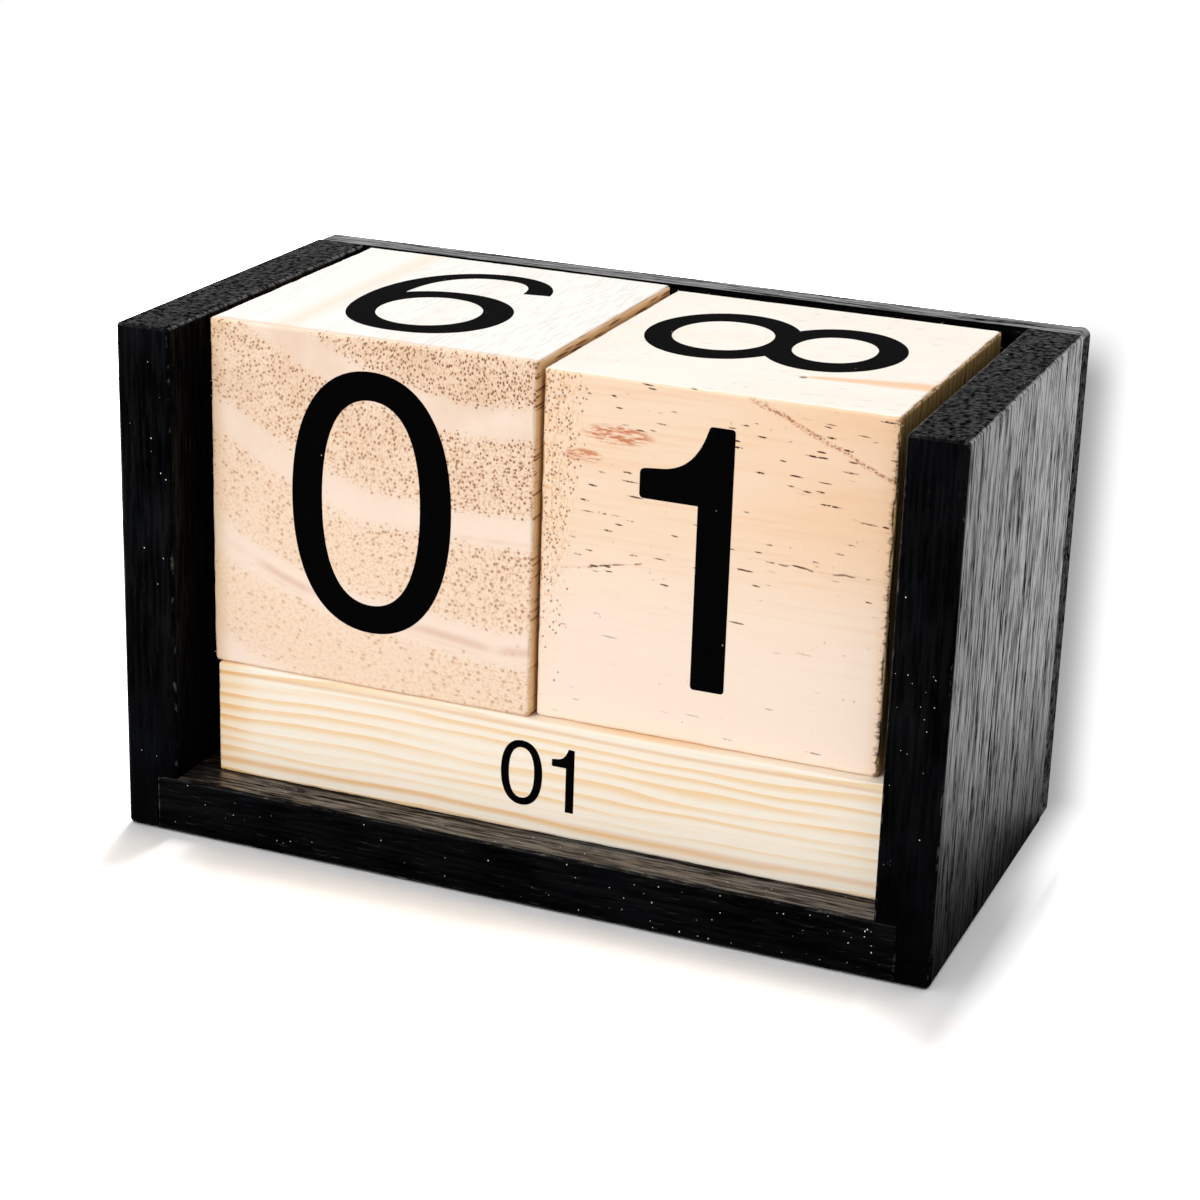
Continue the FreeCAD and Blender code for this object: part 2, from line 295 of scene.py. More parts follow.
def sawn_block(node, name, edge_round, ragged, material):
    """A worn block that fills its CAD node. ragged(place, facing) says how rough an edge is."""
    low, high = (np.array(corner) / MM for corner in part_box(node))
    half = (high - low) / 2 - ink_stands_proud
    middle = (high + low) / 2
    grid, quads = box_grid(half)
    core = np.clip(grid, edge_round - half, half - edge_round)
    facing = grid - core
    facing /= np.linalg.norm(facing, axis=1)[:, None]
    points = core + facing * edge_round + middle
    for index, (place, outward) in enumerate(zip(points, facing)):
        spot = Vector(place)
        edge = min(1, max(0, (1 - abs(outward).max()) / 0.25))
        dent = max(0, noise.noise(spot * 0.28)) * 0.3
        nick = max(0, noise.noise(spot * 1.7) - 0.05) * ragged(place, outward)
        saw = 0.012 + 0.012 * noise.noise(spot * 0.5)
        points[index] -= outward * (edge * (dent + nick) + (1 - edge) * saw)
    made = object_from(name, points, quads, material)
    made.data.polygons.foreach_set("use_smooth", [True] * len(quads))
    stored = made.data.attributes.new("facing", "FLOAT_VECTOR", "POINT")
    stored.data.foreach_set("vector", facing.astype(np.float32).ravel())
    print(name, len(points), "points, about", 2 * len(quads), "triangles")
    return made


def facing_of(tree):
    """The three parts of the stored facing."""
    stored = add_node(tree, "ShaderNodeAttribute", {}, output="Vector", attribute_name="facing")
    return parts_of(tree, stored)

# %% [markdown]
# ## The left cube: end grain to the front
#
# This block was cut so that its fibres run from front to back. The front shows the cut ends
# of thousands of tiny vessels, in wide bands that follow the year rings, with smooth pale
# stripes between. One pattern does it all: the distance from the tree's middle, which lies
# outside the block, gives the rings, and long thin grains along the fibres give dots on the
# front and lines on the other faces. A picture of wood could not turn the corner like this.
#
# The vessels crowd together towards the upper right, so a slope across the face decides how
# many cells of the pattern keep their dot, and how dark it is.

# %% Wood of the left cube
left_wood, tree, shader, (x, y, z) = finish_of("left_cube_wood")
face_x, _, face_z = facing_of(tree)

wood_gloss = 0.25
pith_x, pith_z = -10.0, 124.3
pale_ring = 57.0
ring_width = 15.9
line_ring = 89.0
vessel_gap = 0.58

side_x, side_z = x - pith_x, z - pith_z
ring = (side_x * side_x + side_z * side_z).math("SQRT")
ring = ring + (cloud(tree, x / 24, y / 70, z / 24) - 0.5) * 4
turn = side_x.math("ARCTAN2", side_z) * 75
season = ((ring - pale_ring) / ring_width + 0.5).math("FRACT") - 0.5
from_pale = season.math("ABSOLUTE")
patches = cloud(tree, x / 6, y / 40, z / 6, detail=3.0)
crowd = (x * 0.6 + z).smooth(2, 74)
vessel_zone = from_pale.smooth(0.09, 0.2) * patches.smooth(0.1, 0.45)

kept = vessel_zone * (crowd * 0.8 + 0.15)
vessels = grains(tree, ring / vessel_gap, turn / vessel_gap, y / 7, 0.44, kept)
halos = grains(tree, ring / vessel_gap, turn / vessel_gap, y / 7, 0.75, kept)
top = face_z.smooth(0.75, 0.97)
seen_vessels = vessels * (top * -0.94 + 1) * (crowd * 0.7 + 0.15)
fibres = cloud(tree, ring / 0.45, turn / 0.45, y / 9, detail=2.0)
webbing = fibres.smooth(0.5, 0.62) * vessel_zone * crowd * (top * -1 + 1)

colour = tint(tree, from_pale.smooth(0.04, 0.3), paint(251, 228, 209), paint(249, 222, 197))
dusk = z.smooth(40, 82) * patches.smooth(0.25, 0.75)
colour = tint(tree, dusk * 0.75, colour, paint(232, 200, 172))
colour = tint(tree, fibres.smooth(0.45, 0.7) * vessel_zone * 0.6, colour, paint(240, 196, 152))
colour = tint(tree, webbing * 0.4, colour, paint(176, 124, 84))
faint = cloud(tree, x / 9, y / 50, z / 9)
near_line = (ring - line_ring).bump_at(0, 1.1) * faint.smooth(0.40, 0.6)
other_line = season.bump_at(0.09, 0.03) * faint.smooth(0.5, 0.7)
colour = tint(tree, near_line * 0.45 + other_line * 0.25, colour, paint(212, 158, 126))
colour = tint(tree, x.smooth(-46.6, -49.2) * 0.5, colour, paint(232, 196, 152))
rim = face_x.math("ABSOLUTE").smooth(0.8, 0.98)
colour = tint(tree, rim, colour, tint(tree, fibres, paint(253, 216, 164), paint(246, 196, 136)))
top_band = x.bump_at(-38.5, 3.5) * 0.8 + x.bump_at(-22, 5) * 0.2
colour = tint(tree, top, colour, tint(tree, top_band, paint(254, 250, 244), paint(254, 234, 216)))
# Painted shade: along its front edge the top is darkened towards the colour of the front.
colour = tint(tree, top * y.smooth(-24.4, -25.6) * 0.8, colour, paint(243, 208, 180))
colour = tint(tree, halos * (top * -1 + 1) * 0.25, colour, paint(238, 186, 136))
colour = tint(tree, seen_vessels, colour, paint(128, 68, 30))
show(
    tree, shader, colour, cloud(tree, x / 3, y / 9, z / 3) * 0.15 + 0.6,
    vessels * -0.06 + fibres * 0.03 + from_pale * 0.02)
shader.inputs["Specular IOR Level"].default_value = wood_gloss

left_cube = sawn_block(
    "left_date_cube", "left_cube_block", 0.5,
    lambda place, outward: 0.7 if outward[0] < -0.1 else 0.3, left_wood)
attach(left_cube, "left_cube")
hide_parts("left_date_cube")

# %% [markdown]
# ## The right cube: long grain to the front
#
# The fibres of the second block run from side to side. Its front shows the vessels from the
# side, as short dark dashes, most of them in the upper half. A few marks are this block's
# own: two reddish smudges, a slanting line, a hairline crack and a dotted strip down the
# left edge. Each one is a soft mask placed by its distance from a point or a line.

# %% Grain and vessels of the right cube
right_wood, tree, shader, (x, y, z) = finish_of("right_cube_wood")
face_x, _, face_z = facing_of(tree)
top = face_z.smooth(0.75, 0.97)
end = face_x.math("ABSOLUTE").smooth(0.6, 0.95)

drift = cloud(tree, x / 22, y / 7, z / 7)
grain = cloud(tree, x / 16, y / 0.7, z / 0.7, detail=3.0, roughness=0.6)
lean = z + x * 0.05
crowd = z.smooth(40, 54) * drift.smooth(0.25, 0.6) * x.smooth(4, 8)
long_dashes = grains(tree, x / 4.2 + lean / 9, y / 0.5, lean / 0.42, 0.36, crowd * 0.09 + 0.003)
short_dashes = grains(tree, x / 2.0 + lean / 5, y / 0.4, lean / 0.40, 0.40, crowd * 0.08 + 0.002)
broken = cloud(tree, x / 0.5, y / 0.3, z / 0.2, detail=2.0).smooth(0.36, 0.46)
dashes = long_dashes.math("MAXIMUM", short_dashes) * broken

colour = tint(tree, z.smooth(36, 60), paint(253, 232, 213), paint(250, 220, 190))
colour = tint(tree, x.smooth(20, 44) * z.smooth(44, 66) * 0.8, colour, paint(250, 207, 167))
warmth = grain.smooth(0.45, 0.75) * z.smooth(28, 60)
colour = tint(tree, warmth * 0.5, colour, paint(243, 200, 162))
colour = tint(tree, drift.smooth(0.45, 0.7) * 0.35, colour, paint(252, 228, 205))
print("right cube: fibres from side to side, two sizes of vessels")

# %% [markdown]
# ## Marks of this one block
#
# The marks go over the plain grain one after the other, the faint ones first. The top and
# the ends have their own colours and cover what the front's pattern would put there.

# %% Marks that only the right cube has
strokes = cloud(tree, x / 1.6, y / 0.35, z / 0.30, detail=4.0, roughness=0.7).smooth(0.42, 0.58)


def smudge(middle_x, middle_z, reach_x, reach_z):
    """A patch of short reddish strokes."""
    off_x, off_z = (x - middle_x) / reach_x, (z - middle_z) / reach_z
    return (off_x * off_x + off_z * off_z).smooth(1.2, 0.3) * strokes


def slanted_line(start_x, start_z, rise, width, wobble):
    """A line across the front that starts at a point and runs to the right."""
    waver = (cloud(tree, x / 4, y / 4, z / 4, detail=3.0) - 0.5) * wobble
    off_line = z - start_z - (x - start_x) * rise + waver
    return off_line.bump_at(0, width) * x.smooth(start_x - 1, start_x + 3)


beads = cloud(tree, x / 0.45, y / 0.45, z / 0.40).smooth(0.47, 0.58) * drift.smooth(0.3, 0.5)
colour = tint(tree, smudge(11.2, 67.6, 5.4, 1.5) * 0.85, colour, paint(200, 104, 56))
colour = tint(tree, smudge(6.4, 64.1, 2.9, 1.1) * 0.8, colour, paint(200, 104, 56))
slant = slanted_line(29.0, 75.5, -0.434, 0.55, 1.4)
colour = tint(tree, slant * 0.35, colour, paint(226, 158, 118))
colour = tint(tree, slant * beads * 0.85, colour, paint(150, 84, 48))
left_crack = slanted_line(3.5, 47.8, 0.19, 0.22, 0.8) * x.smooth(17, 14)
crack = slanted_line(30.0, 53.2, -0.008, 0.22, 1.2) + left_crack
seen_crack = crack * cloud(tree, x / 1.5, z / 4, 0).smooth(0.45, 0.6)
colour = tint(tree, seen_crack * 0.85, colour, paint(112, 62, 34))
strip = (x - z * 0.07).smooth(2.6, -1.2) * z.smooth(26, 56)
pits = grains(tree, x / 0.5, y / 0.6, z / 0.6, 0.38, strip * 0.9)
strip_grain = cloud(tree, x / 0.35, y / 0.8, z / 0.8, detail=2.0).smooth(0.5, 0.62)
colour = tint(tree, strip * strip_grain * 0.6, colour, paint(230, 172, 112))
colour = tint(tree, pits * 0.75, colour, paint(128, 78, 42))
# Along the right edge the dark bites are painted shade: they stand in for the shade inside the
# notches.
notch_shade_noise = cloud(tree, x / 0.7, y / 2, z / 0.45, detail=2.0)
painted_notch_shade = x.smooth(48.7, 49.9) * notch_shade_noise.smooth(0.5, 0.62)
colour = tint(tree, x.smooth(47.5, 49.8) * 0.35, colour, paint(240, 190, 140))
colour = tint(tree, painted_notch_shade * 0.9, colour, paint(84, 56, 34))

top_tone = tint(tree, drift.smooth(0.35, 0.7), paint(253, 246, 236), paint(253, 242, 229))
colour = tint(tree, top, colour, top_tone)
streak_width = x.smooth(30, 50) * 1.6 + 0.6
streak_middle = (x * -1 + 49.7) * 0.157 + 9.4 + (cloud(tree, x / 9, 0, 0) - 0.5) * 2.5
streak = ((y + streak_middle).math("ABSOLUTE") / streak_width).smooth(1.3, 0.3) * x.smooth(30, 35)
colour = tint(tree, top * streak, colour, paint(250, 208, 172))
knot = ((x - 32.6) * (x - 32.6) + (y + 12.6) * (y + 12.6)).smooth(0.5, 0.05)
colour = tint(tree, top * knot * 0.8, colour, paint(120, 90, 60))

end_waver = (cloud(tree, y / 4, x / 30, z / 18) - 0.5) * 2.4
end_lines = (y / 1.9 + end_waver).math("FRACT").smooth(0.72, 0.95)
end_colour = tint(tree, end_lines, paint(196, 160, 100), paint(96, 72, 40))
colour = tint(tree, end, colour, end_colour)
colour = tint(tree, dashes * (top * -0.92 + 1) * (end * -0.8 + 1), colour, paint(84, 36, 12))
show(
    tree, shader, colour, grain * 0.15 + 0.58,
    dashes * -0.1 + grain * 0.03 + crack * -0.05 + pits * -0.05 + end_lines * end * -0.1)
shader.inputs["Specular IOR Level"].default_value = wood_gloss

right_cube = sawn_block(
    "right_date_cube", "right_cube_block", 0.5,
    lambda place, outward: 1.2 if outward[0] > 0.1 else 0.3, right_wood)
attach(right_cube, "right_cube")
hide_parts("right_date_cube")

# %% [markdown]
# ## Pine for the month bars
#
# Pine grows in clear layers: pale wood in spring, a narrow orange line in summer. On a bar
# the layers run along its length and waver. The height inside the block, bent by a slow
# noise, gives the layers, and its fraction rises slowly and drops at once, as a ring does.

# %% Wood and shape of the three bars
bar_wood, tree, shader, (x, y, z) = finish_of("bar_pine")
layer_gap = 1.75
waver = cloud(tree, x / 42, y / 9, z / 9) - 0.5
layer = (z / layer_gap + y / 12 + waver * 2.6).math("FRACT")
strength = cloud(tree, x / 50, y / 3, z / 2.6, detail=1.0).smooth(0.30, 0.62)
summer = layer.smooth(0.25, 0.86) * layer.smooth(1.0, 0.90) * strength
grain = cloud(tree, x / 14, y / 0.4, z / 0.4, detail=3.0, roughness=0.6)
left_end = x.smooth(-42, -48.5)

colour = tint(tree, grain.smooth(0.4, 0.75) * 0.4, paint(254, 242, 225), paint(253, 235, 210))
colour = tint(tree, summer * 0.85, colour, paint(248, 209, 155))
colour = tint(tree, summer * left_end * 0.8, colour, paint(232, 164, 88))
colour = tint(tree, left_end * 0.4, colour, paint(246, 206, 146))
low_line = (z + waver * 2).bump_at(10.6, 0.8)
high_line = (z + waver * 1.5).bump_at(24.2, 0.5)
colour = tint(tree, (low_line + high_line) * 0.5, colour, paint(230, 176, 114))
show(tree, shader, colour, grain * 0.15 + 0.55, grain * 0.03 + summer * 0.03)
shader.inputs["Specular IOR Level"].default_value = wood_gloss

for bar in ("front", "middle", "rear"):
    block = sawn_block(
        bar + "_month_bar", bar + "_bar_block", 0.4, lambda place, outward: 0.3, bar_wood)
    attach(block, bar + "_bar")
    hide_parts(bar + "_month_bar")

# %% [markdown]
# ## Ink
#
# The numerals are stamped in thick matte ink. The CAD model has them as thin inlays, which is
# all the shape they need. The ink follows the pores a little and has a few pinholes.

# %% Ink on the numerals
ink, tree, shader, (x, y, z) = finish_of("stamped_ink")
unevenness = cloud(tree, x / 1.2, y / 1.2, z / 1.2, detail=3.0)
pinholes = grains(tree, x / 1.7, y / 1.7, z / 1.7, 0.10, 0.05)
colour = tint(tree, unevenness, paint(1, 1, 2), paint(6, 6, 6))
colour = tint(tree, pinholes, colour, paint(214, 190, 168))
show(tree, shader, colour, unevenness * 0.2 + 0.6, unevenness * 0.03 + pinholes * -0.03)
shader.inputs["IOR"].default_value = 1.05


def dress(node, material):
    """Gives a CAD node a material in place of its plain one."""
    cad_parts[node].data.materials.clear()
    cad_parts[node].data.materials.append(material)


inked = ("left_cube", "right_cube", "front_bar", "middle_bar", "rear_bar")
for node in inked:
    dress(node + "_numerals", ink)
print("inked nodes:", len(inked))

# %% [markdown]
# ## Black paint
#
# The frame is open-pored wood under a thin matte paint. The paint is so black that it shows
# only what it mirrors: almost nothing when we look straight at it, and the bright table when
# we look along it, as we do on the right outer side. A thin coat has just this effect when a
# Layer Weight lets it in at flat angles only. The fibres break the sheen into upright
# streaks, so they matter more than colour.
#
# The side boards stand with their grain upright and the base and back lie with it sideways.
# One function makes both, told which way the grain runs. Where the surface bends round an
# edge the paint has rubbed thin, and a painted highlight is added there too; the surface's own
# normal finds those places. Inside the frame, where the brush could hardly reach, the paint is
# dull, and where hands hold the side boards it is polished.

# %% Black paint on the four boards
def black_paint(name, along, side, other, end_shine):
    """Paint over grain that runs along one coordinate. End grain has a shine of its own."""
    material, tree, shader, coordinates = finish_of(name)
    spots = dict(zip("xyz", coordinates))
    run, first, second = spots[along], spots[side], spots[other]
    columns = cloud(tree, run / 30, first / 2.6, second / 2.6, detail=3.0, roughness=0.6)
    fibres = cloud(tree, run / 8.5, first / 0.6, second / 0.6, detail=3.0, roughness=0.6)
    pores = grains(tree, run / 3.0, first / 0.8, second / 0.8, 0.42, 0.6)
    film = cloud(tree, run / 9, first / 6, second / 6, detail=4.0)
    normal = parts_of(tree, add_node(tree, "ShaderNodeNewGeometry", {}, output="Normal"))
    sizes = [part.math("ABSOLUTE") for part in normal]
    flatness = sizes[0].math("MAXIMUM", sizes[1]).math("MAXIMUM", sizes[2])
    up = normal[2].smooth(0.7, 0.95)
    end_grain = sizes["xyz".index(along)].smooth(0.6, 0.95)
    patchy = cloud(tree, run / 2.0, first / 0.9, second / 0.9, detail=4.0, roughness=0.6)
    worn_edge_and_highlight = flatness.smooth(0.97, 0.85) * patchy.smooth(0.54, 0.68)

    colour = tint(tree, film.smooth(0.35, 0.75), paint(3, 3, 4), paint(9, 10, 12))
    # Painted sheen: upward faces get grey mottled patches for the grey sheen that the tops show in
    # the light.
    colour = tint(tree, up * patchy.smooth(0.5, 0.7) * 0.8, colour, paint(30, 29, 28))
    ledge = up * spots["z"].smooth(12, 9)
    scratches = cloud(tree, spots["x"] / 5, spots["y"] / 0.5, 0, detail=3.0).smooth(0.55, 0.66)
    bare = tint(tree, scratches, paint(24, 20, 18), paint(92, 80, 70))
    colour = tint(tree, ledge, colour, bare)
    # On the bends the grey is partly rubbed paint and partly a painted highlight.
    colour = tint(tree, worn_edge_and_highlight * 0.5, colour, paint(100, 97, 92))
    show(
        tree, shader, colour, film * 0.15 + columns * 0.2 + 0.15,
        pores * -0.12 + fibres * 0.10 + columns * 0.2)
    turned_away = add_node(tree, "ShaderNodeLayerWeight", {"Blend": 0.5}, output="Facing")
    glancing = turned_away.smooth(0.22, 0.6)
    streaks = columns.smooth(0.35, 0.65) * 0.45 + fibres.smooth(0.42, 0.6) * 1.3 - pores * 0.3
    if along == "z":
        inside = spots["x"].math("ABSOLUTE").smooth(53.6, 52.8)
        handled = spots["z"].smooth(0, 42) * (spots["y"].smooth(-34, 6) * 0.5 + 0.8)
        streaks = streaks * (handled * 1.05 + 0.05) * (inside * -0.9 + 1)
    shine = tint(tree, end_grain, streaks, patchy.smooth(0.38, 0.66) * end_shine)
    edges = flatness.smooth(0.97, 0.88) * sizes[2].smooth(0.15, 0.4) * patchy.smooth(0.4, 0.55)
    plug(tree, shader.inputs["Specular IOR Level"], (shine + edges) * (glancing * 0.2 + 0.07))
    plug(tree, shader.inputs["Coat Weight"], (shine + edges * 0.6) * glancing * 0.5)
    shader.inputs["IOR"].default_value = 1.3
    shader.inputs["Coat IOR"].default_value = 2.2
    shader.inputs["Coat Roughness"].default_value = 0.3
    tree.links.new(shader.inputs["Normal"].links[0].from_socket, shader.inputs["Coat Normal"])
    return material


upright_paint = black_paint("paint_over_upright_grain", "z", "x", "y", 0.12)
lying_paint = black_paint("paint_over_lying_grain", "x", "y", "z", 0.08)
painted = {
    "left_side_panel": upright_paint, "right_side_panel": upright_paint,
    "base_board": lying_paint, "back_panel": lying_paint}
for node, material in painted.items():
    dress(node, material)
print("painted boards:", len(painted))

# %% [markdown]
# ## Dust by Geometry Nodes
#
# White specks of dust lie on the black paint, most of them on the lower right of the front.
# Nobody wants to place a hundred specks by hand, and a painted texture would have no
# thickness in the light. A Geometry Nodes tree scatters points over a carrier, thick where
# the carrier's own attribute says so, and puts a small flat flake on each point.
#
# The tree is built once, with named inputs. Afterwards we take its result as a plain mesh.

# %% A tree that scatters flakes
def new_tree(name, sockets):
    """An empty tree with named inputs and one geometry output. Returns its inputs as signals."""
    tree = bpy.data.node_groups.new(name, "GeometryNodeTree")
    for label, kind in sockets:
        tree.interface.new_socket(label, in_out="INPUT", socket_type="NodeSocket" + kind)
    tree.interface.new_socket("Result", in_out="OUTPUT", socket_type="NodeSocketGeometry")
    enter = tree.nodes.new("NodeGroupInput")
    return tree, {label: Signal(tree, enter.outputs[label]) for label, _ in sockets}


def finish_tree(tree, instances, material):
    """Makes instances real, gives them their material and sends them out."""
    real = add_node(tree, "GeometryNodeRealizeInstances", {0: instances})
    done = add_node(tree, "GeometryNodeSetMaterial", {"Geometry": real, "Material": material})
    leave = tree.nodes.new("NodeGroupOutput")
    plug(tree, leave.inputs["Result"], done)


def grown(name, carrier, tree, settings):
    """Runs the tree on a carrier and keeps the result as a plain object."""
    modifier = carrier.modifiers.new(name, "NODES")
    modifier.node_group = tree
    for item in tree.interface.items_tree:
        if item.in_out == "INPUT" and item.name in settings:
            modifier[item.identifier] = settings[item.name]
    depsgraph = bpy.context.evaluated_depsgraph_get()
    mesh = bpy.data.meshes.new_from_object(carrier.evaluated_get(depsgraph), depsgraph=depsgraph)
    bpy.data.objects.remove(carrier)
    made = bpy.data.objects.new(name, mesh)
    bpy.context.collection.objects.link(made)
    print(name, len(mesh.polygons), "faces")
    return made


flakes, given = new_tree("scattered_flakes", [
    ("Carrier", "Geometry"), ("Flakes per square metre", "Float"), ("Smallest", "Float"),
    ("Largest", "Float"), ("Seed", "Int"), ("Dust", "Material")])
share = add_node(
    flakes, "GeometryNodeInputNamedAttribute", {"Name": "dustiness"},
    output="Attribute", data_type="FLOAT")
spots = add_node(flakes, "GeometryNodeDistributePointsOnFaces", {
    "Mesh": given["Carrier"], "Seed": given["Seed"],
    "Density": given["Flakes per square metre"] * share})
turns = Signal(flakes, spots.socket.node.outputs["Rotation"])
size = add_node(flakes, "FunctionNodeRandomValue", {
    2: given["Smallest"], 3: given["Largest"], "Seed": given["Seed"]}, output=1, data_type="FLOAT")
length = add_node(
    flakes, "FunctionNodeRandomValue", {2: 0.7, 3: 1.5, "Seed": 7}, output=1, data_type="FLOAT")
flake = add_node(flakes, "GeometryNodeMeshIcoSphere", {"Radius": 1.0, "Subdivisions": 1})
instances = add_node(flakes, "GeometryNodeInstanceOnPoints", {
    "Points": spots, "Instance": flake, "Rotation": turns,
    "Scale": point(flakes, size, size * length, size * 0.4)})
finish_tree(flakes, instances, given["Dust"])
print("flake tree:", len(flakes.nodes), "nodes")

# %% [markdown]
# ## Where the dust lies
#
# Five patches carry the dust: the base's front, the fronts of both side boards, the ledge
# and the right board's top. Each patch is one quad with a dustiness at both ends.

# %% Dust on the frame
dust, tree, shader, (x, y, z) = finish_of("white_dust")
whiteness = cloud(tree, x / 3, y / 3, z / 3).smooth(0.35, 0.65)
plug(tree, shader.inputs["Base Color"], tint(
    tree, whiteness, paint(120, 116, 112), paint(240, 238, 234)))
plug(tree, shader.inputs["Roughness"], cloud(tree, x, y, z) * 0.2 + 0.7)


def dusty_patches(patches):
    """One quad for each patch: three corners in millimetres, then the dustiness at both ends."""
    corners, faces, dustiness = [], [], []
    for start, across, up, first, last in patches:
        start, across, up = Vector(start), Vector(across), Vector(up)
        faces.append(tuple(range(len(corners), len(corners) + 4)))
        corners += [start, start + across, start + across + up, start + up]
        dustiness += [first, last, last, first]
    carrier = object_from("dust_carrier", corners, faces, dust)
    carrier.data.attributes.new("dustiness", "FLOAT", "POINT").data.foreach_set("value", dustiness)
    return carrier


low, high = (Vector(corner) / MM for corner in cad_box)
right_low = Vector(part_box("right_side_panel")[0]) / MM
base_high = Vector(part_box("base_board")[1]) / MM
board, edge, panel_top = 8.3, 0.7, 75.7
across_board = (board - 1.4, 0, 0)
front_patches = [
    ((-base_high.x, low.y, 0.6), (2 * base_high.x, 0, 0), (0, 0, base_high.z - 1.2), 0.35, 1.0),
    ((right_low.x + edge, low.y, 9), across_board, (0, 0, 60), 0.3, 0.45),
    ((low.x + edge, low.y, 9), across_board, (0, 0, 62), 0.2, 0.2),
    ((right_low.x, low.y + edge, base_high.z), (-2 * right_low.x, 0, 0), (0, 5, 0), 0.9, 0.3),
    ((right_low.x + edge, low.y + edge, panel_top), across_board, (0, 56, 0), 0.25, 0.15),
]
frame_dust = grown("frame_dust", dusty_patches(front_patches), flakes, {
    "Flakes per square metre": 130000.0, "Smallest": 0.00003, "Largest": 0.00011,
    "Seed": 4, "Dust": dust})
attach(frame_dust, "frame")

# %% [markdown]
# ## Splinters by Geometry Nodes
#
# The saw left short fibres standing along the edges of the cubes. A second tree turns edges
# into curves, walks along them in even steps and sets a thin wedge on each step, turned and
# sized at random. The edges are given as lines, so the same tree serves both cubes.

# %% A tree that grows splinters along lines
wedges, given = new_tree("splinters_along_lines", [
    ("Lines", "Geometry"), ("Step", "Float"), ("Shortest", "Float"), ("Longest", "Float"),
    ("Seed", "Int"), ("Fibre", "Material")])
paths = add_node(wedges, "GeometryNodeMeshToCurve", {0: given["Lines"]})
steps = add_node(
    wedges, "GeometryNodeResampleCurve", {"Curve": paths, "Length": given["Step"]}, mode="LENGTH")
wedge = add_node(wedges, "GeometryNodeMeshCone", {
    "Vertices": 4, "Radius Top": 0.02, "Radius Bottom": 0.14, "Depth": 1.0}, output="Mesh")
turn = add_node(
    wedges, "FunctionNodeRandomValue",
    {0: (-3.1, -3.1, -3.1), 1: (3.1, 3.1, 3.1), "Seed": given["Seed"]},
    output=0, data_type="FLOAT_VECTOR")
size = add_node(wedges, "FunctionNodeRandomValue", {
    2: given["Shortest"], 3: given["Longest"], "Seed": given["Seed"]}, output=1, data_type="FLOAT")
instances = add_node(wedges, "GeometryNodeInstanceOnPoints", {
    "Points": steps, "Instance": wedge, "Rotation": turn, "Scale": size})
finish_tree(wedges, instances, given["Fibre"])
print("splinter tree:", len(wedges.nodes), "nodes")

# %% [markdown]
# ## Which edges are splintered
#
# An edge is given by two corners of the cube's box, each written with 0 and 1 for the low
# and the high side, so that the same words fit any cube. The right cube is the rougher one.

# %% Splinters on both cubes
fibre, tree, shader, (x, y, z) = finish_of("loose_fibre")
paleness = cloud(tree, x / 0.8, y / 0.8, z / 0.8).smooth(0.4, 0.6)
plug(tree, shader.inputs["Base Color"], tint(
    tree, paleness, paint(92, 64, 42), paint(236, 200, 156)))
plug(tree, shader.inputs["Roughness"], cloud(tree, x, y, z) * 0.2 + 0.65)


def splinters(node, body, name, lines, longest, seed):
    """Splinters along edges of a cube, each given by two corners as shares of its box."""
    low, high = (Vector(corner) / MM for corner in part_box(node))
    inset = 0.22
    room = [high[axis] - low[axis] - 2 * inset for axis in range(3)]
    ends, pairs = [], []
    for line in lines:
        pairs.append((len(ends), len(ends) + 1))
        for corner in line:
            ends.append([low[axis] + inset + corner[axis] * room[axis] for axis in range(3)])
    carrier = object_from(name + "_lines", ends, [], fibre)
    carrier.data.edges.add(len(pairs))
    carrier.data.edges.foreach_set("vertices", np.array(pairs).ravel())
    made = grown(name, carrier, wedges, {
        "Step": 0.0011, "Shortest": 0.0001, "Longest": longest,
        "Seed": seed, "Fibre": fibre})
    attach(made, body)


splinters("right_date_cube", "right_cube", "right_cube_splinters", [
    ((1, 0, 0), (1, 0, 1)), ((1, 0, 1), (1, 1, 1)),
    ((0, 1, 1), (1, 1, 1)), ((1, 1, 0), (1, 1, 1))], 0.0006, 3)
splinters("left_date_cube", "left_cube", "left_cube_splinters", [
    ((0, 0, 0), (0, 0, 1)), ((0, 1, 1), (1, 1, 1)), ((1, 0, 0), (1, 0, 1))], 0.0004, 5)

# %% [markdown]
# ## Table and room
#
# A calendar in a catalogue stands on a white table. Table and room look white to the camera
# and in reflections, which makes the paint shine, but they stay plain for the light that
# falls on the calendar. The Light Path node tells these kinds of rays apart.
#
# A retouched catalogue picture also has a soft grey shadow along the right side. No lamp makes
# such an even shadow, so we paint it, as a fade that starts at the frame's right side. Part of
# this painted shadow lies on the table, beside the back corner.

# %% Table and room
frame_right, frame_top = cad_box[1][0] / MM, cad_box[1][2] / MM
rim_start, rim_end = -1.4, 6.0
card_gap = 5.3
card_y = cad_box[1][1] / MM + card_gap
table_reach, table_level = 480, -0.1
white_near, white_far = grey(2.2), grey(5.0)
mirrored_table = grey(0.9)
room_light, room_white = grey(0.38), grey(1.0)


def rays_of(tree):
    """Two signals: 1 for rays of the camera, and 1 for rays of reflections."""
    rays = tree.nodes.new("ShaderNodeLightPath")
    kinds = ("Camera", "Glossy", "Transmission")
    camera_ray, glossy_ray, through = (
        Signal(tree, rays.outputs[f"Is {kind} Ray"]) for kind in kinds)
    return camera_ray, glossy_ray.math("MAXIMUM", through)


def beside_frame(x):
    """1 at the frame's right side, 0 a little further to the right."""
    return (x - frame_right).smooth(rim_start, rim_end) * -1 + 1


def painted_shadow_rim(tree, share):
    """A painted glow: white, and a grey painted shadow where the share is 1."""
    fade = tint(tree, share, grey(1.03), paint(166, 166, 166))
    return add_node(tree, "ShaderNodeEmission", {"Color": fade})


